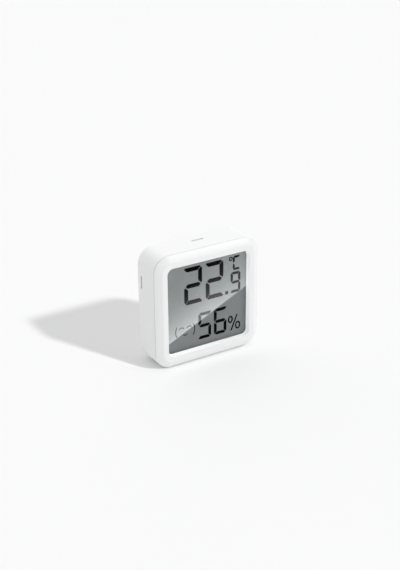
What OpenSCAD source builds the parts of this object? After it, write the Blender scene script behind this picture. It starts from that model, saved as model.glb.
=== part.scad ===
// Square desktop temperature and humidity sensor with a liquid crystal display.
// The object stands on its bottom edge: X runs to the right, Y runs from the
// front to the back and Z points up. The origin is under the middle of the body.
// Depths are counted backwards from the flat front of the frame.

/* [Body] */
// Width of the body
body_w = 55; // [50:0.5:70]
// Height of the body
body_h = 55; // [50:0.5:70]
// Depth of the body, front to back
body_d = 17.6; // [17:0.1:24]
// Radius of the four upright corners, seen from the front
corner_r = 7.8; // [6:0.1:12]
// Thickness of the case walls
wall = 1.6; // [1.2:0.1:2.2]
// Width of the soft bevel along the outer edge of the front
edge_w = 3.3; // [1.5:0.1:4.5]
// Depth of the soft bevel along the outer edge of the front
edge_depth = 2; // [1:0.1:2.1]
// Fullness of the bevel: 1 is flat, 2 is a full rounding
edge_fullness = 1.1; // [1:0.1:2]
// Radius of the edge round the back
back_edge_r = 1.2; // [0.6:0.1:1.5]
// Depth of the joint line between the frame and the case
seam_depth = 2.3; // [2.3:0.1:3]
// Width of the joint line
seam_gap = 0.25; // [0.1:0.05:0.3]

/* [Frame tongue] */
// Gap between the tongue of the frame and the case wall
fit_gap = 0.1; // [0.05:0.05:0.2]
// Thickness of the tongue
tongue_t = 1; // [0.8:0.1:1.2]
// Length of the tongue behind the joint line
tongue_l = 2.6; // [2.2:0.1:3.2]
// Length of each snap bead
snap_l = 9; // [6:0.5:14]
// Height of each snap bead above the tongue
snap_h = 0.35; // [0.2:0.05:0.5]
// Thickness of each snap bead
snap_t = 0.7; // [0.5:0.1:1]

/* [Display] */
// Depth of the window behind the front
window_recess = 2.5; // [2:0.1:3]
// Thickness of the window
window_t = 1; // [0.8:0.1:1.5]
// Corner radius of the opening
opening_r = 2.9; // [1:0.1:4]
// How much the opening narrows on each side towards the window
opening_draft = 0.35; // [0:0.05:0.6]
// Thickness of the window's adhesive tape
tape_t = 0.2; // [0.1:0.05:0.3]
// Width of the display border that the frame hides
lcd_border = 1.2; // [1:0.1:2]
// Gap round the display glass
lcd_gap = 0.2; // [0.1:0.05:0.4]
// Air gap between the window and the display
lcd_air = 0.1; // [0.05:0.05:0.3]
// Thickness of the front polarising film
film_t = 0.2; // [0.15:0.05:0.3]
// Thickness of each display glass
glass_t = 0.7; // [0.5:0.1:1.1]
// Thickness of the reflecting film
reflector_t = 0.25; // [0.15:0.05:0.4]
// Height of the contact ledge under the display
ledge_h = 1.4; // [1:0.1:1.6]
// Part of the ledge's inner edge that the frame hides
ledge_cover = 0.3; // [0.1:0.1:0.6]
// Width of the holder's ribs
holder_rib = 3; // [2:0.5:5]
// Space between the ends of the contact strip and the display's sides
strip_inset = 3; // [2:0.5:8]

/* [Board] */
// Thickness of the main board
board_t = 1; // [0.8:0.1:1.6]
// Gap between the board and the case wall
board_gap = 0.5; // [0.3:0.1:0.8]
// Diameter of the screw bosses
boss_d = 2.6; // [2.2:0.1:3]
// Distance between the upper and the lower bosses
boss_spread = 28; // [20:1:34]
// Diameter of the screws
screw_d = 1; // [0.8:0.1:1.2]
// Length of the screws under the head
screw_l = 4.2; // [3:0.1:4.5]
// Diameter of the screw heads
screw_head_d = 2.6; // [2.2:0.1:3]
// Height of the screw heads
screw_head_h = 0.7; // [0.5:0.1:1]
// Space between a screw head and the case wall
head_room = 0.2; // [0.1:0.05:0.4]
// Width of the radio board
radio_w = 16; // [12:0.5:20]
// Height of the radio board
radio_h = 9.4; // [8:0.1:10]
// Thickness of the radio board
radio_t = 0.8; // [0.6:0.1:1]
// Height of the radio's shield can
shield_h = 1.8; // [1.2:0.1:2]
// Width of the humidity sensor chip
chip_w = 3; // [2:0.1:4]
// Height of the humidity sensor chip above the board
chip_h = 0.9; // [0.6:0.1:1.2]
// Width of the display driver chip
driver_w = 7; // [5:0.5:8]
// Height of the display driver chip above the board
driver_h = 1.2; // [0.8:0.1:1.6]

/* [Battery] */
// Diameter of the coin cell
cell_d = 24.5; // [20:0.1:25]
// Thickness of the coin cell
cell_t = 5; // [3.2:0.1:5.4]
// Height of the battery contact between the board and the cell
contact_h = 2; // [1.6:0.1:2.6]
// How far the battery sits below the middle of the body
cell_drop = 2; // [0:0.5:4]
// Thickness of the battery cover's disc
cover_t = 1.5; // [1.2:0.1:1.8]
// Wall thickness of the cover's skirt
skirt_t = 1; // [0.8:0.1:1.4]
// How far each bayonet lug reaches under its flange
lug_reach = 1.2; // [0.8:0.1:1.6]
// Thickness of the bayonet lugs
lug_t = 1.1; // [0.8:0.1:1.4]
// Angle that each bayonet lug spans
lug_angle = 24; // [16:1:30]
// Turn that frees the battery cover
turn_angle = 40; // [35:1:50]
// Thickness of the flange that holds the lugs
flange_t = 1; // [0.8:0.1:1.2]
// Wall thickness of the battery well
well_wall = 1.2; // [1:0.1:1.4]
// Radial gap round the battery cover
cover_side_gap = 0.2; // [0.15:0.05:0.3]
// Gap in front of and behind the bayonet lugs
cover_gap = 0.15; // [0.1:0.05:0.2]
// Length of the coin slot
coin_slot_l = 14; // [10:0.5:18]
// Width of the coin slot
coin_slot_w = 2.2; // [1.6:0.1:3]
// Depth of the coin slot
coin_slot_depth = 0.8; // [0.5:0.1:0.9]

/* [Button] */
// Diameter of the pairing button
button_d = 6; // [4:0.5:8]
// Travel of the pairing button
button_travel = 0.3; // [0.2:0.05:0.4]
// How far the button's face lies below the back
button_recess = 0.2; // [0.1:0.05:0.4]
// Gap round the button
button_gap = 0.2; // [0.1:0.05:0.3]
// Distance of the button's middle from the right side and from the top
button_inset = 10.5; // [8:0.5:13]
// Width of the push switch
switch_w = 6; // [4.5:0.1:6.5]
// Height of the push switch
switch_h = 3.4; // [2.5:0.1:3.6]
// Diameter of the switch plunger
plunger_d = 3.4; // [2.5:0.1:3.6]

/* [Vents] */
// Length of the vent slots
vent_l = 6.5; // [4:0.1:10]
// Width of the vent slots
vent_w = 1.1; // [0.6:0.1:1.4]
// Depth of the slot in the top
top_vent_depth = 11.4; // [9:0.1:14]
// Distance of the slot in the top to the right of the middle
top_vent_x = 0.5; // [-10:0.1:10]
// Depth of the slot in the left side
side_vent_depth = 13.7; // [9:0.1:14]
// Height of the slot in the left side above the middle of the body
side_vent_rise = 12.2; // [0:0.1:14]

/* [Hidden] */
$fn = 64;

front_y = -body_d / 2;
back_y = body_d / 2;
mid_z = body_h / 2;
// Length by which a cut runs past the face it opens
cut = 1;
// Steps in a rounded edge
edge_steps = 8;

// Frame and display, across the front
boss_inset = wall + head_room + screw_head_d / 2;
lcd_margin = boss_inset + boss_d / 2 + lcd_gap;
lcd_w = body_w - 2 * lcd_margin;
lcd_h = body_h - 2 * lcd_margin;
bezel_w = lcd_margin + lcd_border;
opening_w = body_w - 2 * bezel_w;
opening_h = body_h - 2 * bezel_w;
inner_r = corner_r - wall;
rear_glass_bottom = -opening_h / 2 - ledge_cover;
ledge_bottom = -lcd_h / 2 - ledge_h;
tape_edge = 0.1;

// Frame and display, in depth
skirt_end = seam_depth - seam_gap / 2;
rim_start = seam_depth + seam_gap / 2;
shelf = window_recess - tape_t;
tongue_end = seam_depth + tongue_l;
snap_start = tongue_end - 2 * snap_t;
film_front = window_recess + window_t + lcd_air;
glass_front = film_front + film_t;
glass_mid = glass_front + glass_t;
glass_back = glass_mid + glass_t;
reflector_back = glass_back + reflector_t;

// Battery and board, in depth from the back
pad_t = 0.5;
cell_play = 0.1;
disc_front = body_d - cover_t;
cell_back = disc_front - pad_t - cell_play;
cell_front = cell_back - cell_t;
board_back = cell_front - contact_h;
board_front = board_back - board_t;

// Board, across the front
board_inset = wall + board_gap;
board_w = body_w - 2 * board_inset;
board_h = body_h - 2 * board_inset;
board_r = corner_r - board_inset;
boss_x = body_w / 2 - boss_inset;
boss_z = boss_spread / 2;
screw_gap = 0.05;
pilot_bottom = board_back - screw_l - 0.4;
notch_r = screw_d / 2 + 0.25;
radio_x = -3;
radio_z = board_h / 2 - radio_h / 2 - 0.4;
radio_back = board_back + radio_t;
shield_rim = 1;
shield_t = 0.2;
antenna_h = 2;
shield_part_h = radio_h - antenna_h - shield_rim / 2;
chip_x = -board_w / 2 + chip_w / 2 + 3.4;
chip_z = board_h / 2 - chip_w / 2 - 5;
isolation_gap = 1.2;
isolation_w = 1;
driver_x = -board_w / 2 + driver_w / 2 + 4;
driver_z = -board_h / 2 + driver_w / 2 + 4;
part_gap = 1.5;
crystal_l = 3.2;
crystal_w = 1.5;
crystal_h = 0.8;
capacitor_l = 1.6;
capacitor_w = 0.8;
capacitor_pitch = 2.4;
capacitor_count = 6;

// Battery and its cover
cell_r = cell_d / 2;
cell_z = -cell_drop;
cell_side_gap = 0.45;
pocket_gap = 0.35;
pad_r = cell_r / 2;
pad_w = 1.2;
skirt_r = cell_r + cell_side_gap + skirt_t;
flange_r = skirt_r + cover_side_gap;
lug_r = flange_r + lug_reach;
chamber_r = lug_r + 0.3;
cover_r = lug_r + 0.4;
recess_r = cover_r + cover_side_gap;
well_r = recess_r + well_wall;
pocket_r = cell_r + pocket_gap;
flange_back = disc_front - cover_gap;
flange_front = flange_back - flange_t;
lug_back = flange_front - cover_gap;
lug_front = lug_back - lug_t;
chamber_front = lug_front - 2 * cover_gap;
well_step = chamber_front - well_wall;
well_front = board_back + 0.7;
lug_count = 3;
lug_start = 90;
stop_play = 1;
stop_angle = 6;
notch_play = 0.5;
can_t = 0.3;
can_step = 0.35;
gasket_w = 0.7;
cap_r = cell_r - can_t - gasket_w;
cap_t = 0.3;
contact_t = 0.25;
contact_play = 0.05;
negative_l = 12;
negative_w = 7;
finger_w = 2.2;
finger_lift = cell_front - contact_play;
clip_w = 5;
clip_foot = 3;
clip_gap = 0.5;
clip_top = well_step;

// Pairing button
button_r = button_d / 2;
button_x = body_w / 2 - button_inset;
button_z = body_h / 2 - button_inset;
flange_grip = 1;
button_flange_t = 0.8;
button_face = body_d - button_recess;
button_flange_back = body_d - wall - button_gap;
button_flange_front = button_flange_back - button_flange_t;
plunger_reach = 1;
plunger_r = plunger_d / 2;
plunger_gap = 0.1;
switch_back = board_back + switch_h;
plunger_tip = switch_back + plunger_reach;
plunger_root = switch_back - 0.6;
plunger_well = plunger_root - button_travel - 0.2;

// A flat outline, seen from the front, given thickness between two depths
module slab(from, to) {
    translate([0, front_y + to, mid_z])
        rotate([90, 0, 0])
            linear_extrude(to - from) children();
}

// A rounded rectangle about the middle of the body
module rounded_square(w, h, r) {
    square([w - 2 * r, h], center = true);
    square([w, h - 2 * r], center = true);
    for (x = [-1, 1], z = [-1, 1])
        translate([x * (w / 2 - r), z * (h / 2 - r)]) circle(r);
}

// A slot with round ends about its middle
module slot_outline(l, w) {
    square([l - w, w], center = true);
    for (x = [-1, 1]) translate([x * (l - w) / 2, 0]) circle(d = w);
}

// A quarter of an outer edge, outwards from a corner's centre: an ellipse at a fullness of 2
module edge_profile(r, w, rise, fullness) {
    power = 2 / fullness;
    polygon(concat([[r - w, 0]],
        [for (i = [0:edge_steps])
            let (a = 90 * i / edge_steps)
                [r - w + w * pow(cos(a), power), rise * pow(sin(a), power)]]));
}

// A profile swept round a rounded rectangle
module rim_sweep(w, h, r) {
    for (x = [-1, 1], z = [-1, 1])
        translate([x * (w / 2 - r), z * (h / 2 - r), 0])
            rotate([0, 0, x > 0 ? (z > 0 ? 0 : 270) : (z > 0 ? 90 : 180)])
                rotate_extrude(angle = 90) children();
    for (x = [0, 180])
        rotate([0, 0, x])
            translate([w / 2 - r, 0, 0])
                rotate([90, 0, 0]) linear_extrude(h - 2 * r, center = true) children();
    for (z = [90, 270])
        rotate([0, 0, z])
            translate([h / 2 - r, 0, 0])
                rotate([90, 0, 0]) linear_extrude(w - 2 * r, center = true) children();
}

// A sector of a ring, about the battery's centre
module ring_sector(r_in, r_out, a_from, a_to) {
    far = 2 * r_out;
    a_mid = (a_from + a_to) / 2;
    intersection() {
        difference() {
            circle(r_out);
            circle(r_in);
        }
        polygon([[0, 0], far * [cos(a_from), sin(a_from)],
                 far * [cos(a_mid), sin(a_mid)], far * [cos(a_to), sin(a_to)]]);
    }
}

module at_cell() { translate([0, cell_z]) children(); }

module at_bosses() {
    for (x = [-1, 1], z = [-1, 1]) translate([x * boss_x, z * boss_z]) children();
}

module frame_outer() {
    slab(edge_depth, skirt_end) rounded_square(body_w, body_h, corner_r);
    slab(0, edge_depth)
        rounded_square(body_w - 2 * edge_w, body_h - 2 * edge_w, corner_r - edge_w);
    translate([0, front_y + edge_depth, mid_z])
        rotate([90, 0, 0]) rim_sweep(body_w, body_h, corner_r)
            edge_profile(corner_r, edge_w, edge_depth, edge_fullness);
}

module tongue_outline(inset) {
    rounded_square(body_w - 2 * inset, body_h - 2 * inset, corner_r - inset);
}

module snap_beads(length, height, from, to) {
    for (side = [0, 1]) {
        across = side == 0 ? body_w : body_h;
        reach = across / 2 - wall - fit_gap + height;
        slab(from, to)
            rotate(side * 90) square([2 * reach, length], center = true);
    }
}

module display_outline() {
    rounded_square(lcd_w, lcd_h, opening_r);
}

module front_glass_outline() {
    translate([-lcd_w / 2, ledge_bottom]) square([lcd_w, lcd_h / 2 - ledge_bottom]);
}

// The sloping side of the opening, from the front down to the window's shelf
module opening_slope() {
    root = opening_r + cut / 2;
    translate([0, front_y + shelf, mid_z])
        rotate([90, 0, 0]) rim_sweep(opening_w, opening_h, opening_r)
            polygon([[root, 0], [opening_r - opening_draft, 0], [opening_r, shelf], [root, shelf]]);
}

module front_frame() {
    color("white") difference() {
        union() {
            difference() {
                union() {
                    frame_outer();
                    slab(edge_depth, shelf) tongue_outline(wall + fit_gap);
                }
                slab(-cut, shelf + cut) rounded_square(opening_w, opening_h, opening_r);
            }
            opening_slope();
            difference() {
                union() {
                    slab(shelf, tongue_end) tongue_outline(wall + fit_gap);
                    snap_beads(snap_l, snap_h, snap_start, snap_start + snap_t);
                }
                slab(shelf, tongue_end + cut) tongue_outline(wall + fit_gap + tongue_t);
            }
            slab(shelf, board_front) at_bosses() circle(d = boss_d);
        }
        slab(shelf, tongue_end + cut)
            translate([-lcd_w / 2 - lcd_gap, ledge_bottom - lcd_gap])
                square([lcd_w + 2 * lcd_gap, lcd_h / 2 - ledge_bottom + 2 * lcd_gap]);
        slab(pilot_bottom, board_front + cut) at_bosses() circle(d = screw_d + 2 * screw_gap);
    }
}

module window_tape() {
    color("dimgray") slab(shelf, window_recess) difference() {
        display_outline();
        rounded_square(opening_w + 2 * tape_edge, opening_h + 2 * tape_edge, opening_r);
    }
}

module display_window() {
    color("lightgray") slab(window_recess, window_recess + window_t) display_outline();
}

module lcd_front_film() {
    color("darkgray") slab(film_front, glass_front) square([lcd_w, lcd_h], center = true);
}

module lcd_front_glass() {
    color("lightsteelblue") slab(glass_front, glass_mid) front_glass_outline();
}

module rear_glass_outline() {
    translate([-lcd_w / 2, rear_glass_bottom]) square([lcd_w, lcd_h / 2 - rear_glass_bottom]);
}

module lcd_rear_glass() {
    color("lightsteelblue") slab(glass_mid, glass_back) rear_glass_outline();
}

module lcd_reflector() {
    color("silver") slab(glass_back, reflector_back) rear_glass_outline();
}

module lcd_holder() {
    hole_w = (lcd_w - 3 * holder_rib) / 2;
    hole_h = (lcd_h / 2 - rear_glass_bottom - 3 * holder_rib) / 2;
    color("white") slab(reflector_back, board_front) difference() {
        rear_glass_outline();
        for (column = [0, 1], row = [0, 1])
            translate([-lcd_w / 2 + holder_rib + column * (hole_w + holder_rib),
                       rear_glass_bottom + holder_rib + row * (hole_h + holder_rib)])
                square([hole_w, hole_h]);
    }
}

module contact_strip() {
    strip_w = lcd_w - 2 * strip_inset;
    strip_top = rear_glass_bottom - lcd_gap;
    color("slategray") slab(glass_mid, board_front)
        translate([-strip_w / 2, ledge_bottom + lcd_gap])
            square([strip_w, strip_top - ledge_bottom - lcd_gap]);
}

module main_board() {
    slot_x = chip_x + chip_w / 2 + isolation_gap;
    slot_z = chip_z - chip_w / 2 - isolation_gap;
    slot_l = chip_w + 2 * isolation_gap;
    color("seagreen") slab(board_front, board_back) difference() {
        rounded_square(board_w, board_h, board_r);
        at_bosses() circle(notch_r);
        for (x = [-1, 1], z = [-1, 1])
            translate([x * (boss_x + board_inset), z * boss_z])
                square([2 * board_inset, 2 * notch_r], center = true);
        translate([slot_x, slot_z]) square([isolation_w, slot_l]);
        translate([slot_x + isolation_w - slot_l, slot_z - isolation_w])
            square([slot_l, isolation_w]);
    }
}

module board_screws() {
    drive_w = screw_head_d * 0.6;
    drive_t = 0.35;
    color("silver") {
        slab(board_back - screw_l, board_back) at_bosses() circle(d = screw_d);
        difference() {
            slab(board_back, board_back + screw_head_h) at_bosses() circle(d = screw_head_d);
            slab(board_back + screw_head_h / 2, board_back + screw_head_h + cut)
                at_bosses() {
                    square([drive_w, drive_t], center = true);
                    square([drive_t, drive_w], center = true);
                }
        }
    }
}

module at_radio() { translate([radio_x, radio_z]) children(); }

module radio_board() {
    color("darkgreen") slab(board_back, radio_back)
        at_radio() square([radio_w, radio_h], center = true);
}

module radio_shield() {
    can_w = radio_w - 2 * shield_rim;
    can_z = -radio_h / 2 + shield_rim / 2 + shield_part_h / 2;
    color("silver") difference() {
        slab(radio_back, radio_back + shield_h)
            at_radio() translate([0, can_z]) square([can_w, shield_part_h], center = true);
        slab(radio_back - cut, radio_back + shield_h - shield_t)
            at_radio() translate([0, can_z])
                square([can_w - 2 * shield_t, shield_part_h - 2 * shield_t], center = true);
    }
}

module humidity_sensor() {
    color("black") difference() {
        slab(board_back, board_back + chip_h)
            translate([chip_x, chip_z]) square(chip_w, center = true);
        slab(board_back + chip_h / 2, board_back + chip_h + cut)
            translate([chip_x, chip_z]) circle(chip_w / 5);
    }
}

module display_driver() {
    color("black") slab(board_back, board_back + driver_h)
        translate([driver_x, driver_z]) square(driver_w, center = true);
}

module crystal() {
    color("silver") slab(board_back, board_back + crystal_h)
        translate([driver_x + driver_w / 2 + part_gap, driver_z - driver_w / 2])
            square([crystal_l, crystal_w]);
}

module capacitors() {
    row_x = -driver_x - driver_w / 2;
    color("tan") slab(board_back, board_back + capacitor_w)
        for (i = [0:capacitor_count - 1])
            translate([row_x + capacitor_pitch * (i % 3), driver_z + capacitor_pitch * floor(i / 3)])
                square([capacitor_w, capacitor_l], center = true);
}

module at_button() { translate([button_x, button_z]) children(); }

module switch_body() {
    color("black") difference() {
        slab(board_back, switch_back) at_button() square(switch_w, center = true);
        slab(plunger_well, switch_back + cut) at_button() circle(plunger_r + plunger_gap);
    }
}

module switch_plunger() {
    color("black") slab(plunger_root, plunger_tip) at_button() circle(plunger_r);
}

module pairing_button() {
    color("white") {
        slab(button_flange_back, button_face) at_button() circle(button_r);
        slab(button_flange_front, button_flange_back) at_button() circle(button_r + flange_grip);
        slab(plunger_tip, button_flange_front) at_button() circle(plunger_r);
    }
}

// One leaf of the negative contact, bent up from the foot towards the cell
module contact_leaf(z) {
    foot_y = front_y + board_back + contact_t;
    tip_y = front_y + finger_lift;
    half = negative_l / 2;
    translate([0, 0, mid_z + cell_z + z - finger_w / 2])
        linear_extrude(finger_w)
            polygon([[half - contact_t, foot_y], [half, foot_y],
                     [half, foot_y + contact_t], [-half / 2, tip_y],
                     [-half, tip_y], [-half, tip_y - contact_t],
                     [-half / 2, tip_y - contact_t]]);
}

module negative_contact() {
    color("silver") {
        slab(board_back, board_back + contact_t)
            at_cell() square([negative_l, negative_w], center = true);
        for (side = [-1, 1]) contact_leaf(side * (negative_w - finger_w) / 2);
    }
}

module positive_contact() {
    strip_z = mid_z + cell_z - cell_r - contact_play - contact_t;
    color("silver") translate([-clip_w / 2, 0, strip_z]) {
        translate([0, front_y + board_back, 0])
            cube([clip_w, clip_top - board_back, contact_t]);
        translate([0, front_y + board_back, -clip_foot])
            cube([clip_w, contact_t, clip_foot + contact_t]);
    }
}

module cell_can() {
    color("silver") difference() {
        slab(cell_front + can_step, cell_back) at_cell() circle(cell_r);
        slab(cell_front - cut, cell_back - can_t) at_cell() circle(cell_r - can_t);
    }
}

module cell_cap() {
    color("lightgray") difference() {
        slab(cell_front, cell_back - 2 * cap_t - can_t) at_cell() circle(cap_r);
        slab(cell_front + cap_t, cell_back) at_cell() circle(cap_r - cap_t);
    }
}

module cell_pellet() {
    color("dimgray") slab(cell_front + cap_t, cell_back - 2 * cap_t - can_t)
        at_cell() circle(cap_r - cap_t);
}

module cell_gasket() {
    color("gray") {
        slab(cell_front + can_step, cell_back - can_t) at_cell() difference() {
            circle(cell_r - can_t);
            circle(cap_r);
        }
        slab(cell_back - 2 * cap_t - can_t, cell_back - can_t) at_cell() circle(cap_r);
    }
}

module case_outer() {
    slab(rim_start, body_d - back_edge_r) rounded_square(body_w, body_h, corner_r);
    slab(body_d - back_edge_r, body_d)
        rounded_square(body_w - 2 * back_edge_r, body_h - 2 * back_edge_r, corner_r - back_edge_r);
    translate([0, back_y - back_edge_r, mid_z])
        rotate([-90, 0, 0]) rim_sweep(body_w, body_h, corner_r)
            edge_profile(corner_r, back_edge_r, back_edge_r, 2);
}

// Free space under the flange in which the lugs turn, between their stops
module lug_chamber() {
    difference() {
        circle(chamber_r);
        for (i = [0:lug_count - 1]) {
            middle = lug_start + i * 360 / lug_count;
            shut = middle + lug_angle / 2 + stop_play;
            open = middle - turn_angle - lug_angle / 2 - stop_play;
            ring_sector(flange_r + cover_side_gap, chamber_r + cut, shut, shut + stop_angle);
            ring_sector(flange_r + cover_side_gap, chamber_r + cut, open - stop_angle, open);
        }
    }
}

module lug_notches() {
    for (i = [0:lug_count - 1]) {
        middle = lug_start + i * 360 / lug_count - turn_angle;
        ring_sector(flange_r - cut, chamber_r,
                    middle - lug_angle / 2 - notch_play, middle + lug_angle / 2 + notch_play);
    }
}

module rear_case() {
    color("white") difference() {
        union() {
            difference() {
                case_outer();
                slab(rim_start - cut, body_d - wall)
                    rounded_square(body_w - 2 * wall, body_h - 2 * wall, inner_r);
            }
            slab(well_step, body_d - wall) at_cell() circle(well_r);
            slab(well_front, chamber_front) at_cell() circle(pocket_r + well_wall);
        }
        slab(flange_back, body_d + cut) at_cell() circle(recess_r);
        slab(chamber_front, body_d) at_cell() circle(flange_r);
        slab(flange_front - cut / 2, body_d) at_cell() lug_notches();
        slab(chamber_front, flange_front) at_cell() lug_chamber();
        slab(well_front - cut, chamber_front + cut) at_cell() circle(pocket_r);
        slab(well_front - cut, clip_top + clip_gap)
            at_cell() translate([0, -cell_r - well_wall])
                square([clip_w + 2 * clip_gap, 2 * well_wall + 2 * clip_gap], center = true);
        slab(body_d - wall - cut, body_d + cut) at_button() circle(button_r + button_gap);
        snap_beads(snap_l + 2 * fit_gap, snap_h + fit_gap,
                   snap_start - fit_gap, snap_start + snap_t + fit_gap);
        translate([top_vent_x, front_y + top_vent_depth, body_h - wall - cut])
            linear_extrude(wall + 2 * cut) slot_outline(vent_l, vent_w);
        translate([-body_w / 2 - cut, front_y + side_vent_depth, mid_z + side_vent_rise])
            rotate([0, 90, 0]) linear_extrude(wall + 2 * cut) slot_outline(vent_l, vent_w);
    }
}

module battery_cover() {
    color("white") difference() {
        union() {
            slab(disc_front, body_d) at_cell() circle(cover_r);
            slab(lug_front, disc_front) at_cell() difference() {
                circle(skirt_r);
                circle(skirt_r - skirt_t);
            }
            slab(lug_front, lug_back) at_cell()
                for (i = [0:lug_count - 1]) {
                    middle = lug_start + i * 360 / lug_count;
                    ring_sector(skirt_r - skirt_t / 2, lug_r,
                                middle - lug_angle / 2, middle + lug_angle / 2);
                }
            slab(cell_back + cell_play, disc_front) at_cell() difference() {
                circle(pad_r);
                circle(pad_r - pad_w);
            }
        }
        slab(body_d - coin_slot_depth, body_d + cut)
            at_cell() slot_outline(coin_slot_l, coin_slot_w);
    }
}

front_frame();
window_tape();
display_window();
lcd_front_film();
lcd_front_glass();
lcd_rear_glass();
lcd_reflector();
lcd_holder();
contact_strip();
main_board();
board_screws();
radio_board();
radio_shield();
humidity_sensor();
display_driver();
crystal();
capacitors();
switch_body();
switch_plunger();
pairing_button();
negative_contact();
positive_contact();
cell_can();
cell_pellet();
cell_gasket();
cell_cap();
rear_case();
battery_cover();
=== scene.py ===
"""A square desktop temperature and humidity sensor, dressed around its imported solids.

Lengths are in metres, and MM turns millimetres into them. X runs to the right, Y from the front
to the back and Z up. A depth is counted backwards from the flat front of the frame.
"""

import math

import bmesh
import bpy
from mathutils import Matrix, Vector


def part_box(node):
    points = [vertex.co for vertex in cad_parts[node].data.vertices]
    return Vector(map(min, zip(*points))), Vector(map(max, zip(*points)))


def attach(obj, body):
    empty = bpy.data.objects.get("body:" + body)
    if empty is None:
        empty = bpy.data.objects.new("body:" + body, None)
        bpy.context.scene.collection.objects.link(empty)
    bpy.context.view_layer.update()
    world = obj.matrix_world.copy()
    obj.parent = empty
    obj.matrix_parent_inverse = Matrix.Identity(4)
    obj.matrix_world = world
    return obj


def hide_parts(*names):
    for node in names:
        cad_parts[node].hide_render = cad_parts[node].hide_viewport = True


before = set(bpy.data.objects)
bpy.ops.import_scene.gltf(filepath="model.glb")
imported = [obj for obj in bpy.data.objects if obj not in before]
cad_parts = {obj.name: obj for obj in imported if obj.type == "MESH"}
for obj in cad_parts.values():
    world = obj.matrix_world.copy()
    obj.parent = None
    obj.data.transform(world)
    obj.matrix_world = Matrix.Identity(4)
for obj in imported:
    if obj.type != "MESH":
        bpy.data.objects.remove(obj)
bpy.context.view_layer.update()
MM = 0.001


# The table top: plain white laminate, large enough to fill the picture behind the sensor.
# It only carries the sensor and its shadow, so it is no part of it, and it lies a hair lower.
class Wire:
    """One socket of a node tree. Sums, products and powers of wires become Math nodes."""

    def __init__(self, tree, socket=None):
        self.tree = tree
        self.socket = socket

    def node(self, kind, settings=None, inputs=None, output=0):
        """Adds a node: its settings are set first, then its sockets get values or wires.

        The output is named or counted, and a list of outputs gives a list of wires.
        """
        made = self.tree.nodes.new(kind)
        for name, value in (settings or {}).items():
            setattr(made, name, value)
        for place, value in (inputs or {}).items():
            if isinstance(value, Wire):
                self.tree.links.new(value.socket, made.inputs[place])
            else:
                made.inputs[place].default_value = value
        if isinstance(output, list):
            return [Wire(self.tree, made.outputs[name]) for name in output]
        return Wire(self.tree, made.outputs[output]) if len(made.outputs) else None

    def math(self, operation, *values):
        return self.node("ShaderNodeMath", {"operation": operation}, dict(enumerate(values)))

    def vector(self, operation, *values):
        return self.node("ShaderNodeVectorMath", {"operation": operation}, dict(enumerate(values)))

    def tint(self, first, second):
        """A colour between two others, with this number as the share of the second."""
        return self.node("ShaderNodeMix", {"data_type": "RGBA"}, {0: self, 6: first, 7: second}, 2)

    def clamped(self):
        return self.math("MINIMUM", self.math("MAXIMUM", self, 0), 1)

    def bump(self, strength, distance):
        """The normals of a surface with this number as its height."""
        inputs = {"Strength": strength, "Distance": distance, "Height": self}
        return self.node("ShaderNodeBump", {}, inputs, "Normal")

    def axes(self):
        return self.node("ShaderNodeSeparateXYZ", {}, {0: self}, ["X", "Y", "Z"])

    def __add__(self, other):
        return self.math("ADD", self, other)

    def __sub__(self, other):
        return self.math("SUBTRACT", self, other)

    def __rsub__(self, other):
        return self.math("SUBTRACT", other, self)

    def __mul__(self, other):
        return self.math("MULTIPLY", self, other)

    def __truediv__(self, other):
        return self.math("DIVIDE", self, other)

    def __pow__(self, other):
        return self.math("POWER", self, other)

    def __abs__(self):
        return self.math("ABSOLUTE", self)

    __radd__ = __add__
    __rmul__ = __mul__


def new_finish(name):
    """A new material with an empty tree, and a wire to start from."""
    material = bpy.data.materials.new(name)
    material.use_nodes = True
    material.node_tree.nodes.clear()
    return material, Wire(material.node_tree)


def shade(start, sockets):
    """Ends a material in one Principled shader."""
    shader = start.node("ShaderNodeBsdfPrincipled", {}, sockets)
    start.node("ShaderNodeOutputMaterial", {}, {"Surface": shader})


def object_place(start):
    return start.node("ShaderNodeTexCoord", output="Object")


def noise(start, place, size, detail=2.0):
    """Noise with features of about that size."""
    inputs = {"Vector": place, "Scale": 1 / size, "Detail": detail}
    return start.node("ShaderNodeTexNoise", {}, inputs, "Fac")


def new_object(name, vertices, edges, faces):
    """A mesh object at the origin, in the scene."""
    mesh = bpy.data.meshes.new(name)
    mesh.from_pydata(vertices, edges, faces)
    made = bpy.data.objects.new(name, mesh)
    bpy.context.scene.collection.objects.link(made)
    return made


table_half = 5.0
table_drop = 0.75 * MM
table_white = (0.93, 0.93, 0.93, 1)
table_cloud = (0.915, 0.917, 0.92, 1)
cloud_size = 300 * MM
corners = [(-1, -1), (1, -1), (1, 1), (-1, 1)]
table = new_object("table", [(x * table_half, y * table_half, -table_drop) for x, y in corners],
                   [], [(0, 1, 2, 3)])
laminate, start = new_finish("white_laminate")
clouds = noise(start, object_place(start), cloud_size)
shade(start, {"Base Color": clouds.tint(table_white, table_cloud),
              "Roughness": 0.7, "Specular IOR Level": 0.2})
table.data.materials.append(laminate)

# The light: an even bright room, a lamp high in front on the right, a weaker one high behind, and
# one that draws the long shadow on the table. Seen directly, the room is plain white.
def new_lamp(name, kind, strength, receivers, excluded=False):
    """A lamp that reaches only those objects, or all but them."""
    lamp = bpy.data.objects.new(name, bpy.data.lights.new(name, kind))
    lamp.data.energy = strength
    group = bpy.data.collections.new(name + "_reach")
    for receiver in receivers:
        group.objects.link(receiver)
    for entry in group.collection_objects:
        entry.light_linking.link_state = "EXCLUDE" if excluded else "INCLUDE"
    lamp.light_linking.receiver_collection = group
    bpy.context.scene.collection.objects.link(lamp)
    return lamp


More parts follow.
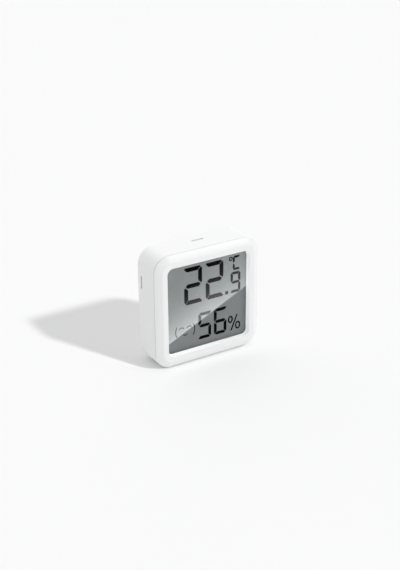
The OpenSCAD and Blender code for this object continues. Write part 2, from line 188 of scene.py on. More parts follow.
room_low = 0.62
room_high = 0.775
lamp_width = math.radians(4)
lamp_towards = Vector((0.55, -0.6, 0.58))
lamp_strength = 0.93
rear_lamp_towards = Vector((0.1, 0.5, 0.86))
rear_lamp_strength = 0.7
table_lamp_towards = Vector((0.335, -0.724, 0.602))
table_lamp_strength = 1.65
room = bpy.data.worlds.new("bright_room")
room.use_nodes = True
room.node_tree.nodes.clear()
start = Wire(room.node_tree)
upwards = start.node("ShaderNodeTexCoord", output="Generated").axes()[2]
brightness = room_low + start.math("MAXIMUM", upwards, 0) * (room_high - room_low)
seen, mirrored, passed = start.node(
    "ShaderNodeLightPath", output=["Is Camera Ray", "Is Glossy Ray", "Is Transmission Ray"])
direct = start.math("MAXIMUM", start.math("MAXIMUM", seen, mirrored), passed)
background = start.node("ShaderNodeBackground", {}, {
    "Color": (1, 1, 1, 1), "Strength": brightness + direct * (1 - brightness)})
start.node("ShaderNodeOutputWorld", {}, {"Surface": background})
bpy.context.scene.world = room
display_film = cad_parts["lcd_front_film"]
lamp = new_lamp("lamp", "SUN", lamp_strength, [table, display_film], True)
rear_lamp = new_lamp("rear_lamp", "SUN", rear_lamp_strength, [table, display_film], True)
table_lamp = new_lamp("table_lamp", "SUN", table_lamp_strength, [table])
for sun, towards in ((lamp, lamp_towards), (rear_lamp, rear_lamp_towards),
                     (table_lamp, table_lamp_towards)):
    sun.data.angle = lamp_width
    sun.rotation_mode = "QUATERNION"
    sun.rotation_quaternion = towards.to_track_quat("Z", "Y")
bpy.context.scene.view_settings.view_transform = "Standard"

# The camera, at the photograph's viewing angle: it looks down on the front from the left.
# The lens is given by its focal length in pixels of the photograph's frame.
view_from = Vector((-248.5, -405.9, 250.5)) * MM
view_turn = math.radians(31.506)
view_fall = math.radians(24.508)
view_roll = math.radians(-0.399)
focal_pixels = 1140.6
frame_pixels = 570
sensor_width = 36
ahead = Vector((math.sin(view_turn) * math.cos(view_fall),
                math.cos(view_turn) * math.cos(view_fall), -math.sin(view_fall)))
level = Vector((math.cos(view_turn), -math.sin(view_turn), 0))
above = level.cross(ahead)
sideways = math.cos(view_roll) * level + math.sin(view_roll) * above
above = math.cos(view_roll) * above - math.sin(view_roll) * level
camera = bpy.data.objects.new("camera", bpy.data.cameras.new("camera"))
camera.data.sensor_width = sensor_width
camera.data.lens = focal_pixels / frame_pixels * sensor_width
turn = Matrix((sideways, above, -ahead)).transposed().to_4x4()
camera.matrix_world = Matrix.Translation(view_from) @ turn
bpy.context.scene.collection.objects.link(camera)
bpy.context.scene.camera = camera


# The front frame: one white moulding with a soft outer bevel and a flat ring round the display.
# The tongue behind it snaps into the rear case, and four bosses take the board's screws.
def arc(middle, reach, begin, end, steps):
    """Points on an ellipse about a middle, between two angles in degrees."""
    angles = [math.radians(begin + (end - begin) * i / steps) for i in range(steps + 1)]
    return [(middle[0] + reach[0] * math.cos(a), middle[1] + reach[1] * math.sin(a)) for a in angles]


def settle(piece):
    """Makes what a piece's modifiers do part of its mesh."""
    bpy.context.view_layer.update()
    shown = piece.evaluated_get(bpy.context.evaluated_depsgraph_get())
    mesh = bpy.data.meshes.new_from_object(shown)
    piece.modifiers.clear()
    piece.data = mesh
    return piece


def edit(piece, change):
    """Changes a piece's mesh with a function of its bmesh."""
    shape = bmesh.new()
    shape.from_mesh(piece.data)
    change(shape)
    shape.to_mesh(piece.data)
    shape.free()
    return piece


def close_and_turn_out(shape):
    """Merges doubled points, closes open ends and turns every face outwards."""
    bmesh.ops.remove_doubles(shape, verts=shape.verts, dist=1e-7)
    bmesh.ops.holes_fill(shape, edges=[e for e in shape.edges if e.is_boundary], sides=0)
    bmesh.ops.recalc_face_normals(shape, faces=shape.faces)


def soften(piece):
    """Smooth shading that leaves flat faces flat and real corners sharp."""
    crease = math.radians(32)

    def crease_corners(shape):
        for face in shape.faces:
            face.smooth = True
        for edge in shape.edges:
            edge.smooth = len(edge.link_faces) == 2 and edge.calc_face_angle() < crease

    edit(piece, crease_corners)
    weighted = piece.modifiers.new("weighted", "WEIGHTED_NORMAL")
    weighted.keep_sharp = True
    return settle(piece)


def add_to(piece, *others):
    """Takes the meshes of other objects into a piece."""
    edit(piece, lambda shape: [shape.from_mesh(other.data) for other in others])
    for other in others:
        bpy.data.objects.remove(other)
    return piece


def carve(piece, *cutters):
    """Cuts other shapes out of a piece."""
    for cutter in cutters:
        cut = piece.modifiers.new("cut", "BOOLEAN")
        cut.operation = "DIFFERENCE"
        cut.solver = "EXACT"
        cut.object = cutter
    settle(piece)
    for cutter in cutters:
        bpy.data.objects.remove(cutter)
    return piece


def new_tree(name, inputs):
    """An empty geometry tree with named inputs: the tree, and a wire from each input."""
    tree = bpy.data.node_groups.new(name, "GeometryNodeTree")
    tree.interface.new_socket("Shape", in_out="INPUT", socket_type="NodeSocketGeometry")
    for label, kind in inputs.items():
        tree.interface.new_socket(label, in_out="INPUT", socket_type="NodeSocket" + kind)
    tree.interface.new_socket("Shape", in_out="OUTPUT", socket_type="NodeSocketGeometry")
    entry = tree.nodes.new("NodeGroupInput")
    return tree, [Wire(tree, entry.outputs[label]) for label in ["Shape", *inputs]]


def end_tree(shape, finish):
    """Ends a geometry tree: copies become real, and the material is set."""
    real = shape.node("GeometryNodeRealizeInstances", {}, {0: shape})
    coated = shape.node("GeometryNodeSetMaterial", {}, {"Geometry": real, "Material": finish})
    shape.node("NodeGroupOutput", {}, {0: coated})


def grow(piece, tree, values):
    """Runs a geometry tree on a piece, with its named inputs set, and keeps the mesh it makes."""
    modifier = piece.modifiers.new("grown", "NODES")
    modifier.node_group = tree
    for item in tree.interface.items_tree:
        if item.in_out == "INPUT" and item.name in values:
            modifier[item.identifier] = values[item.name]
    return settle(piece)


def moulded_plastic(name, colour, cloud, rough, grain):
    """Moulded plastic: a fine spark-eroded grain of that size, and faint clouds from the flow."""
    grain_depth = 0.004 * MM
    flow_size = 14 * MM
    material, start = new_finish(name)
    place = object_place(start)
    pits = noise(start, place, grain)
    flow = noise(start, place, flow_size, 3)
    shade(start, {"Base Color": flow.tint(colour, cloud),
                  "Roughness": rough + (pits - 0.5) * 0.12 + (flow - 0.5) * 0.05,
                  "Normal": pits.bump(0.5, grain_depth)})
    return material


def profile_line(name, points):
    """A profile of (inset, depth) points, as edges for the rim tree to sweep."""
    edges = [(i, i + 1) for i in range(len(points) - 1)]
    return new_object(name, [(-inset, depth, 0) for inset, depth in points], edges, [])


def lofted(name, rings, hollow=False):
    """A solid through rings of points, each joined to the next.

    A hollow one joins its last ring to its first, and any other has flat ends.
    """
    count = len(rings[0])
    vertices = [point for ring in rings for point in ring]
    faces = []
    for level in range(len(rings) if hollow else len(rings) - 1):
        here = level * count
        there = (level + 1) % len(rings) * count
        for i in range(count):
            j = (i + 1) % count
            faces.append((here + i, here + j, there + j, there + i))
    return edit(new_object(name, vertices, [], faces), close_and_turn_out)


def turned(name, profile, centre, steps=96):
    """A solid turned about the depth axis through a centre (x, z), from (radius, depth) points."""
    angles = [2 * math.pi * i / steps for i in range(steps)]
    return lofted(name, [[(centre[0] + radius * math.cos(a), front_y + depth,
                           centre[1] + radius * math.sin(a)) for radius, depth in profile]
                         for a in angles], True)


def rounded_ring(width, height, radius, depth, steps):
    """The outline of a rounded rectangle about the middle of the body, at a depth."""
    ring = []
    for quarter, (x_sign, z_sign) in enumerate([(1, 1), (-1, 1), (-1, -1), (1, -1)]):
        middle = (x_sign * (width / 2 - radius), z_sign * (height / 2 - radius))
        for x, z in arc(middle, (radius, radius), 90 * quarter, 90 * quarter + 90, steps):
            ring.append((x, front_y + depth, mid_z + z))
    return ring


def attribute(shape, label, kind="FLOAT"):
    return shape.node("GeometryNodeInputNamedAttribute", {"data_type": kind}, {"Name": label})


def copies(name, model, places, turns, finish):
    """Copies of a model at those places, each turned about the depth axis, as one piece."""
    piece = new_object(name, places, [], [])
    piece.data.attributes.new("turn", "FLOAT", "POINT").data.foreach_set("value", turns)
    grow(piece, copies_tree, {"Model": model, "Finish": finish})
    bpy.data.objects.remove(model)
    return piece


rim_tree, (shape, width, height, radius, steps, place, finish) = new_tree("rim_round_the_body", {
    "Width": "Float", "Height": "Float", "Corner radius": "Float", "Corner steps": "Int",
    "Place": "Vector", "Finish": "Material"})
section = shape.node("GeometryNodeMeshToCurve", {}, {"Mesh": shape})
outline = shape.node("GeometryNodeCurvePrimitiveQuadrilateral", {"mode": "RECTANGLE"},
                     {"Width": width, "Height": height})
outline = shape.node("GeometryNodeFilletCurve", {"mode": "POLY"},
                     {"Curve": outline, "Count": steps, "Radius": radius})
rim = shape.node("GeometryNodeCurveToMesh", {}, {"Curve": outline, "Profile Curve": section})
end_tree(shape.node("GeometryNodeTransform", {}, {
    "Geometry": rim, "Rotation": (math.pi / 2, 0, 0), "Translation": place}), finish)

copies_tree, (shape, model, finish) = new_tree("copies", {"Model": "Object", "Finish": "Material"})
turn = shape.node("ShaderNodeCombineXYZ", {}, {"Y": attribute(shape, "turn")})
model = shape.node("GeometryNodeObjectInfo", {}, {"Object": model}, "Geometry")
end_tree(shape.node("GeometryNodeInstanceOnPoints", {}, {
    "Points": shape, "Instance": model, "Rotation": turn}), finish)

frame_low, frame_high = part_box("front_frame")
body_w = frame_high.x - frame_low.x
body_h = frame_high.z - frame_low.z
front_y = frame_low.y
mid_z = (frame_low.z + frame_high.z) / 2
corner_r = 7.8 * MM
corner_steps = 24
body_rim = {"Width": body_w, "Height": body_h, "Corner radius": corner_r,
            "Corner steps": corner_steps, "Place": (0, front_y, mid_z)}
white = (0.86, 0.862, 0.864, 1)
white_cloud = (0.845, 0.848, 0.852, 1)
edge_w = 3.3 * MM
edge_depth = 2 * MM
edge_power = 2 / 1.1
edge_steps = 20
bezel_w = 5.8 * MM
opening_r = 2.9 * MM
opening_draft = 0.35 * MM
lip_r = 0.25 * MM
nick = 0.1 * MM
nick_steps = 3
shelf = 2.3 * MM
skirt_end = 2.2 * MM
seam_nick = 0.05 * MM
tongue_out = 1.7 * MM
tongue_in = 2.7 * MM
tongue_end = 4.9 * MM
bevel = [(edge_w * (1 - math.cos(a) ** edge_power), edge_depth * (1 - math.sin(a) ** edge_power))
         for a in [math.pi / 2 * i / edge_steps for i in range(edge_steps)]]
foot = bezel_w + opening_draft
outside = [
    (tongue_in, shelf),
    *arc((tongue_in - nick, tongue_end - nick), (nick, nick), 0, 90, nick_steps),
    *arc((tongue_out + nick, tongue_end - nick), (nick, nick), 90, 180, nick_steps),
    (tongue_out, skirt_end),
    *arc((seam_nick, skirt_end - seam_nick), (seam_nick, seam_nick), 90, 180, nick_steps),
    *bevel, (edge_w, 0),
]
inside = [
    *arc((bezel_w - lip_r, lip_r), (lip_r, lip_r), 270, 350, 2 * nick_steps),
    *arc((foot - nick, shelf - nick), (nick, nick), 0, 90, nick_steps),
]
frame_rings = [(inset, depth, corner_r - inset) for inset, depth in outside]
frame_rings += [(inset, depth, opening_r + bezel_w - inset) for inset, depth in inside]
front_white = moulded_plastic("front_white", white, white_cloud, 0.4, 0.22 * MM)
front_frame = lofted("front_frame_moulding", [
    rounded_ring(body_w - 2 * inset, body_h - 2 * inset, radius, depth, corner_steps)
    for inset, depth, radius in frame_rings], True)
front_frame.data.materials.append(front_white)

pocket_half = 23.1 * MM
pocket_bottom = 24.5 * MM
pocket_play = 0.02 * MM
pocket_depths = (shelf + pocket_play, tongue_end + nick)
pocket_outline = [(-pocket_half, -pocket_bottom), (pocket_half, -pocket_bottom),
                  (pocket_half, pocket_half), (-pocket_half, pocket_half)]
carve(front_frame, lofted("pocket", [[(x, front_y + depth, mid_z + z) for x, z in pocket_outline]
                                     for depth in pocket_depths]))

boss_r = 1.3 * MM
pilot_r = 0.55 * MM
boss_end = 7.5 * MM
pilot_bottom = 3.9 * MM
boss_x = 24.4 * MM
boss_z = 14 * MM
boss_profile = [(0, shelf - nick), (boss_r, shelf - nick), (boss_r, boss_end - nick),
                (boss_r - nick, boss_end), (pilot_r + nick, boss_end),
                (pilot_r, boss_end - nick), (pilot_r, pilot_bottom), (0, pilot_bottom)]
boss_places = [(x * boss_x, 0, mid_z + z * boss_z) for x, z in corners]
bosses = copies("bosses", turned("boss", boss_profile, (0, 0), 32), boss_places, [0] * 4, front_white)


def snap_bead(name, length, top, begin, end):
    """A ridge with sloping sides on the upper side of the tongue."""
    slope = (end - begin) / 4
    foot = body_h / 2 - tongue_in + nick
    section = [(foot, begin), (top, begin + slope), (top, end - slope), (foot, end)]
    return lofted(name, [[(x, front_y + depth, rise) for rise, depth in section]
                         for x in (-length / 2, length / 2)])


bead_l = 9 * MM
bead_top = body_h / 2 - 1.35 * MM
bead_begin = 3.5 * MM
bead_end = 4.2 * MM
quarter_turns = [math.pi / 2 * i for i in range(4)]
beads = copies("beads", snap_bead("bead", bead_l, bead_top, bead_begin, bead_end),
               [(0, 0, mid_z)] * 4, quarter_turns, front_white)
soften(add_to(front_frame, bosses, beads))
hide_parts("front_frame")
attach(front_frame, "case")


# The window's adhesive tape: a frame of thin black foam, stuck to the shelf behind the opening.
# It holds the window, and only its inner edge can be seen.
def dress(node, material):
    """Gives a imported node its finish."""
    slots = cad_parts[node].data.materials
    slots.clear()
    slots.append(material)


tape_black = (0.02, 0.02, 0.021, 1)
tape_worn = (0.035, 0.035, 0.036, 1)
cell_size = 0.12 * MM
cell_depth = 0.02 * MM
foam, start = new_finish("black_foam_tape")
cells = noise(start, object_place(start), cell_size, 3)
shade(start, {"Base Color": cells.tint(tape_black, tape_worn), "Roughness": 0.8 + cells * 0.15,
              "Normal": cells.bump(0.6, cell_depth)})
dress("window_tape", foam)


# The window: a clear flat plate with a matt anti-glare coat on its front, cut a little larger
# than the opening and stuck behind it. Its edges are eased all round.
def clear_finish(name, tint, coat_share):
    """A clear plate that mirrors more at a slant, under a matt coat that shows by that share."""
    smear_size = 9 * MM
    mirror_dark = (0.01, 0.01, 0.01, 1)
    mirror_smear = (0.03, 0.03, 0.03, 1)
    coat_grey = (0.42, 0.42, 0.42, 1)
    coat_pale = (0.46, 0.46, 0.46, 1)
    material, start = new_finish(name)
    slant = start.node("ShaderNodeLayerWeight", {}, {"Blend": 0.5}, "Facing") ** 5
    smears = noise(start, object_place(start), smear_size, 4)
    clear = start.node("ShaderNodeBsdfTransparent", {}, {"Color": tint})
    mirror = start.node("ShaderNodeBsdfPrincipled", {}, {
        "Base Color": smears.tint(mirror_dark, mirror_smear), "Roughness": 0.1 + smears * 0.1})
    coat = start.node("ShaderNodeBsdfPrincipled", {}, {
        "Base Color": smears.tint(coat_grey, coat_pale), "Roughness": 0.9, "Specular IOR Level": 0.0})
    plate = start.node("ShaderNodeMixShader", {}, {0: slant, 1: clear, 2: mirror})
    coated = start.node("ShaderNodeMixShader", {}, {0: coat_share * (1 - smears * 0.05), 1: plate, 2: coat})
    start.node("ShaderNodeOutputMaterial", {}, {"Surface": coated})
    return material


window_low, window_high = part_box("display_window")
window_w = window_high.x - window_low.x
window_h = window_high.z - window_low.z
window_front = window_low.y - front_y
window_back = window_high.y - front_y
window_r = 2 * MM
window_ease = 0.08 * MM
window_steps = 12
window_clear = (0.985, 0.99, 0.988, 1)
eased = (window_w - 2 * window_ease, window_h - 2 * window_ease, window_r - window_ease)
whole = (window_w, window_h, window_r)
window = lofted("clear_window", [rounded_ring(*size, depth, window_steps) for size, depth in [
    (eased, window_front), (whole, window_front + window_ease),
    (whole, window_back - window_ease), (eased, window_back)]])
window.data.materials.append(clear_finish("window_inside", window_clear, 0.0))
window.data.materials.append(clear_finish("window_face", window_clear, 0.006))
soften(window)
for face in window.data.polygons:
    face.material_index = 1 if face.normal.y < -0.9 else 0
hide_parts("display_window")
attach(window, "case")

# The display's front film: a grey polariser with a satin face, stuck on the front glass.
# It gives the display its even grey ground.
film_grey = (0.186, 0.197, 0.197, 1)
film_dark = (0.178, 0.189, 0.19, 1)
film_cloud = 9 * MM
film_grain = 0.06 * MM
satin, start = new_finish("grey_polariser")
place = object_place(start)
clouds = noise(start, place, film_cloud)
grains = noise(start, place, film_grain)
shade(start, {"Base Color": (clouds * 0.6 + grains * 0.4).tint(film_grey, film_dark),
              "Roughness": 0.42 + grains * 0.1, "Specular IOR Level": 0.1})
dress("lcd_front_film", satin)

# The lit segments: the dark bars of the digits and the letter, as thin plates on the film.
# Each has pointed ends and stands a hair apart from its neighbours.
segment_tree, (shape, stroke, cut, thick, finish) = new_tree("display_segments", {
    "Stroke": "Float", "Corner cut": "Float", "Thickness": "Float", "Finish": "Material"})
bar = shape.node("GeometryNodeMeshCube", {}, {"Vertices Y": 3}, "Mesh")
bar = shape.node("GeometryNodeStoreNamedAttribute", {"data_type": "FLOAT_VECTOR"}, {
    "Geometry": bar, "Name": "local", "Value": shape.node("GeometryNodeInputPosition")})
bars = shape.node("GeometryNodeRealizeInstances", {}, {0: shape.node(
    "GeometryNodeInstanceOnPoints", {}, {"Points": shape, "Instance": bar})})
bar_values = ("length", "slope", "even", "first", "last")
length, slope, even, first, last = [attribute(shape, label) for label in bar_values]
local = attribute(shape, "local", "FLOAT_VECTOR")
along, across, through = local.axes()
tip = (cut + even * (stroke - cut)) * 0.5
middle_row = 1 - abs(across * 2)
from_edge = (0.5 - across) * stroke + middle_row * (tip - stroke * 0.5)
back = first + (last - first) * (along + 0.5) + abs(from_edge - tip)
run = along * 2 * (length * 0.5 - back)
out = stroke * 0.5 - from_edge
cosine = shape.math("COSINE", slope)
sine = shape.math("SINE", slope)
moved = shape.node("ShaderNodeCombineXYZ", {}, {
    0: run * cosine - out * sine, 1: through * thick, 2: run * sine + out * cosine})
centre = shape.vector("SUBTRACT", shape.node("GeometryNodeInputPosition"), local)
end_tree(shape.node("GeometryNodeSetPosition", {}, {
    "Geometry": bars, "Position": shape.vector("ADD", centre, moved)}), finish)

plate_t = 0.04 * MM
plate_gap = 0.002 * MM
middle_share = 0.22
short_share = 0.28
display_film_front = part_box("lcd_front_film")[0].y
plate_y = display_film_front - plate_t / 2 - plate_gap
lit_for = {"2": "abged", "5": "afgcd", "6": "afgecd", "9": "abcdfg", "C": "afed"}
ALL_BARS = "abcdefg"
# The bars at the first and the last end of each bar: a blank end is at the digit's middle
neighbours = {"a": "fb", "b": "a ", "c": " d", "d": "ce", "e": "d ", "f": " a", "g": "  "}


def digit_plates(name, middles, size, bars_for, loose_end, finish):
    """The chosen bars of like digits about their middles, as one object.

    Two chosen bars that meet stand back for the corner's cut. Any other outer end stands back by
    loose_end times the cut, and an end at the digit's middle by a share of the stroke.
    """
    width, height, stroke, gap, cut = size
    half_w = (width - stroke) / 2
    half_h = (height - stroke) / 2
    upright = height / 2
    quarter = math.pi / 2
    middle_gap = middle_share * stroke
    bar_at = {"a": (0, half_h, width, 0), "d": (0, -half_h, width, 2 * quarter),
              "b": (half_w, upright / 2, upright, -quarter),
              "c": (half_w, -upright / 2, upright, -quarter),
              "e": (-half_w, -upright / 2, upright, quarter),
              "f": (-half_w, upright / 2, upright, quarter),
              "g": (0, 0, width - short_share * stroke, 0)}

    def set_back(neighbour, bars):
        if neighbour == " ":
            return middle_gap
        return cut / 2 + gap if neighbour in bars else loose_end * cut

    places = []
    rows = []
    for (x, z), bars in zip(middles, bars_for):
        for bar in bars:
            bar_x, bar_z, length, slope = bar_at[bar]
            places.append((x + bar_x, plate_y, mid_z + z + bar_z))
            ends = [set_back(neighbour, bars) for neighbour in neighbours[bar]]
            rows.append((length, slope, float(bar == "g"), *ends))
    made = new_object(name, places, [], [])
    for label, values in zip(bar_values, zip(*rows)):
        made.data.attributes.new(label, "FLOAT", "POINT").data.foreach_set("value", values)
    return grow(made, segment_tree, {"Stroke": stroke, "Corner cut": cut, "Thickness": plate_t,
                                     "Finish": finish})


def joined(name, parts):
    """The first of some plates under a new name, with the others in it and every seam closed."""
    parts[0].name = name
    return edit(add_to(*parts), close_and_turn_out)


ink_black = (0.001, 0.001, 0.0012, 1)
ink_faded = (0.0025, 0.0025, 0.003, 1)
ink_cloud = 3 * MM
ink, start = new_finish("segment_black")
shade(start, {"Base Color": noise(start, object_place(start), ink_cloud).tint(ink_black, ink_faded),
              "Roughness": 0.6, "Specular IOR Level": 0.0})
# Width, height, stroke, gap and corner cut of each kind of digit, then its middles and signs
degrees_size = [v * MM for v in (9.5, 18.3, 2.08, 0.14, 1.15)]
degrees_at = [(x * MM, 9.47 * MM) for x in (-6.52, 4.9)]
tenth_size = [v * MM for v in (5.4, 10.45, 1.3, 0.12, 0.75)]
tenth_at = [(16.32 * MM, 5.7 * MM)]
letter_size = [v * MM for v in (3.8, 7.1, 1.1, 0.1, 0.6)]
letter_at = [(16.72 * MM, 15.33 * MM)]
humidity_size = [v * MM for v in (6.9, 13.4, 1.55, 0.14, 0.9)]
humidity_at = [(x * MM, -12.08 * MM) for x in (-0.47, 7.95)]
shown_signs = [("degrees", degrees_at, degrees_size, "22"), ("tenth", tenth_at, tenth_size, "9"),
               ("letter", letter_at, letter_size, "C"), ("humidity", humidity_at, humidity_size, "56")]
lit_parts = [digit_plates(name, at, size, [lit_for[sign] for sign in signs], 0, ink)
             for name, at, size, signs in shown_signs]
lit_segments = joined("lit_segments", lit_parts)
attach(lit_segments, "case")

# The idle segments: the bars of the same digits that are off. They show only as a faint shade
# of the film's grey.
idle_grey = (0.172, 0.185, 0.186, 1)
idle_dark = (0.165, 0.178, 0.18, 1)
idle_end = 1.2
idle, start = new_finish("segment_idle")
shade(start, {"Base Color": noise(start, object_place(start), ink_cloud).tint(idle_grey, idle_dark),
              "Roughness": 0.45, "Specular IOR Level": 0.1})
idle_parts = [digit_plates(name, at, size,
                           ["".join(bar for bar in ALL_BARS if bar not in lit_for[sign])
                            for sign in signs], idle_end, idle)
              for name, at, size, signs in shown_signs if signs != "C"]
idle_segments = joined("idle_segments", idle_parts)
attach(idle_segments, "case")

# The drawn signs: the degree ring, the point, the percent sign and the comfort face, as thin
# strokes in the same black.
sign_tree, (shape, stroke, thick, place, finish) = new_tree("drawn_signs", {
    "Stroke": "Float", "Thickness": "Float", "Place": "Vector", "Finish": "Material"})
path = shape.node("GeometryNodeMeshToCurve", {}, {"Mesh": shape})
path = shape.node("GeometryNodeSetCurveNormal", {"mode": "Z_UP"}, {"Curve": path})
section = shape.node("GeometryNodeCurvePrimitiveQuadrilateral", {"mode": "RECTANGLE"},
                     {"Width": stroke, "Height": thick})
strokes = shape.node("GeometryNodeCurveToMesh", {}, {
    "Curve": path, "Profile Curve": section, "Fill Caps": True})
end_tree(shape.node("GeometryNodeTransform", {}, {
    "Geometry": strokes, "Rotation": (math.pi / 2, 0, 0), "Translation": place}), finish)


def drawn(name, stroke, lines, finish):
    """Strokes of one width along open or closed lines of (x, z) points in millimetres."""
    vertices = []
    edges = []
    for points, closed in lines:
        first = len(vertices)
        vertices += [(x * MM, z * MM, 0) for x, z in points]
        edges += [(i, i + 1) for i in range(first, len(vertices) - 1)]
        if closed:
            edges.append((len(vertices) - 1, first))
    return grow(new_object(name, vertices, edges, []), sign_tree, {
        "Stroke": stroke * MM, "Thickness": plate_t, "Place": (0, plate_y, mid_z), "Finish": finish})


def ring(middle, reach, steps=32):
    return arc(middle, reach, 0, 360, steps)[:-1], True


lines_by_stroke = {
    1.55: [([(11.54, 0.5), (11.54, 2.1)], False)],
    0.55: [ring((13.65, 17.73), (0.75, 0.75))],
    0.75: [ring((13.6, -13.0), (1.0, 1.55)), ring((17.7, -16.8), (1.1, 1.6)),
          ([(17.35, -11.1), (14.0, -18.8)], False)],
    0.42: [(arc((-12.9, -12.1), (3.2, 3.9), 140, 222, 12), False),
           (arc((-9.0, -12.4), (3.1, 4.1), -46, 42, 12), False),
           (arc((-12.95, -12.0), (1.35, 1.7), 150, 30, 10), False),
           (arc((-8.85, -12.0), (1.35, 1.7), 150, 30, 10), False),
           (arc((-11.0, -13.2), (1.3, 1.3), 215, 325, 8), False)],
}
sign_parts = [drawn("signs", stroke, lines, ink) for stroke, lines in lines_by_stroke.items()]
drawn_signs = joined("drawn_signs", sign_parts)
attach(drawn_signs, "case")

# The light on the display: two beams from the front with one straight slanting edge, as light past
# a blind. One lights the film, more above the edge, and one shows as glare in the window's coat.
def beam(name, power, ground, step, fading, spread, depth, edge, receivers):
    """A beam on a layer at a depth, with an even ground. Above its slanting edge it is stronger by
    a step, and by a share that falls away from the edge by one power and to the right by another.
    """
    lamp = new_lamp(name, "SPOT", power, receivers)
    lamp.data.spot_size = beam_width
    lamp.data.shadow_soft_size = 0
    lamp.data.use_shadow = False
    lamp.location = (0, front_y - beam_run, mid_z)
    lamp.rotation_euler = (math.pi / 2, 0, 0)
    lamp.data.use_nodes = True
    lamp.data.node_tree.nodes.clear()
    start = Wire(lamp.data.node_tree)
    right, up, back = start.node("ShaderNodeTexCoord", output="Normal").axes()
    reach = beam_run + depth
    left_end, right_end = edge
    run = (right_end - left_end).normalized()
    x = right / back * -reach
    z = up / back * -reach
    past_edge = (z - left_end.y) * run.x - (x - left_end.x) * run.y
    lit = (past_edge / glare_edge).clamped()
    share = (1 - past_edge / glare_reach).clamped() ** fading * (1 - x / glare_right).clamped() ** spread
    start.node("ShaderNodeOutputLight", {}, {"Surface": start.node("ShaderNodeEmission", {}, {
        "Color": (1, 1, 1, 1), "Strength": ground + lit * (step + share)})})


beam_run = 350 * MM
beam_width = math.radians(30)
film_edge = [Vector((-19.5, -17.0)) * MM, Vector((22.2, 2.25)) * MM]
coat_edge = [Vector((-20.2, -16.4)) * MM, Vector((21.5, 2.8)) * MM]
glare_edge = 0.1 * MM
glare_reach = 27.2 * MM
glare_right = 40 * MM
film_power = 3.4
film_ground = 0.61
film_step = 0.22
film_fading = 1.5
haze_power = 415
haze_fading = 3
film_depth = display_film_front - front_y
beam("film_beam", power=film_power, ground=film_ground, step=film_step, fading=film_fading,
     spread=0, depth=film_depth, edge=film_edge, receivers=[display_film, idle_segments])
beam("glare_beam", power=haze_power, ground=0, step=0, fading=haze_fading,
     spread=1, depth=window_front, edge=coat_edge, receivers=[window])
glow_power = 0.005
glow = new_lamp("glow", "AREA", glow_power, [front_frame])
glow.data.size = body_w - 2 * bezel_w
glow.data.use_shadow = False
glow.visible_camera = False
glow.location = (0, front_y + window_front, mid_z)
glow.rotation_euler = (math.pi / 2, 0, math.pi)

# The display's two glasses: thin clear plates with the liquid crystal sealed between them.
# The front one is taller, and its lower ledge carries the contacts.
glass_tint = (0.93, 0.965, 0.95, 1)
display_glass = clear_finish("display_glass", glass_tint, 0.0)
for plate in ("lcd_front_glass", "lcd_rear_glass"):
    dress(plate, display_glass)


# The reflector: a brushed silver film stuck on the back of the display.
# It sends the room's light back through the segments.
def brushed_metal(name, colour, stain, rough, line_run, line_w):
    """Metal with fine lines of that run and width along the body, under faint stains."""
    stain_size = 5 * MM
    line_depth = 0.003 * MM
    material, start = new_finish(name)
    place = object_place(start)
    stretched = start.vector("MULTIPLY", place, (1 / line_run, 1 / line_w, 1 / line_w))
    lines = noise(start, stretched, 1, 3)
    stains = noise(start, place, stain_size, 3)
    shade(start, {"Base Color": (stains * 0.7 + lines * 0.3).tint(colour, stain), "Metallic": 1.0,
                  "Roughness": rough + (lines - 0.5) * 0.25,
                  "Normal": lines.bump(0.3, line_depth)})
    return material


silver = (0.7, 0.71, 0.7, 1)
silver_dull = (0.58, 0.59, 0.58, 1)
dress("lcd_reflector", brushed_metal("silver_film", silver, silver_dull, 0.4, 6 * MM, 0.08 * MM))

# The display's holder: a moulded frame with ribs, left in the plastic's natural colour.
# It keeps the display off the board.
natural = (0.8, 0.79, 0.76, 1)
natural_cloud = (0.75, 0.74, 0.7, 1)
dress("lcd_holder", moulded_plastic("natural_plastic", natural, natural_cloud, 0.5, 0.3 * MM))

# The contact strip: silicone rubber in fine upright layers, every second one filled with carbon.
# It is pressed between the display's ledge and the board.
layer_pitch = 0.18 * MM
layer_edge = 0.03 * MM
bloom_size = 2 * MM
rubber_pale = (0.42, 0.44, 0.5, 1)
rubber_black = (0.03, 0.03, 0.033, 1)
layered, start = new_finish("layered_rubber")
place = object_place(start)
along = place.axes()[0]
from_middle = abs(start.math("WRAP", along, layer_pitch / 2, -layer_pitch / 2)) - layer_pitch / 4
carbon = (from_middle / layer_edge + 0.5).clamped()
bloom = noise(start, place, bloom_size, 3)
shade(start, {"Base Color": carbon.tint(rubber_pale, rubber_black),
              "Roughness": 0.6 + bloom * 0.2, "Specular IOR Level": 0.3})
dress("contact_strip", layered)


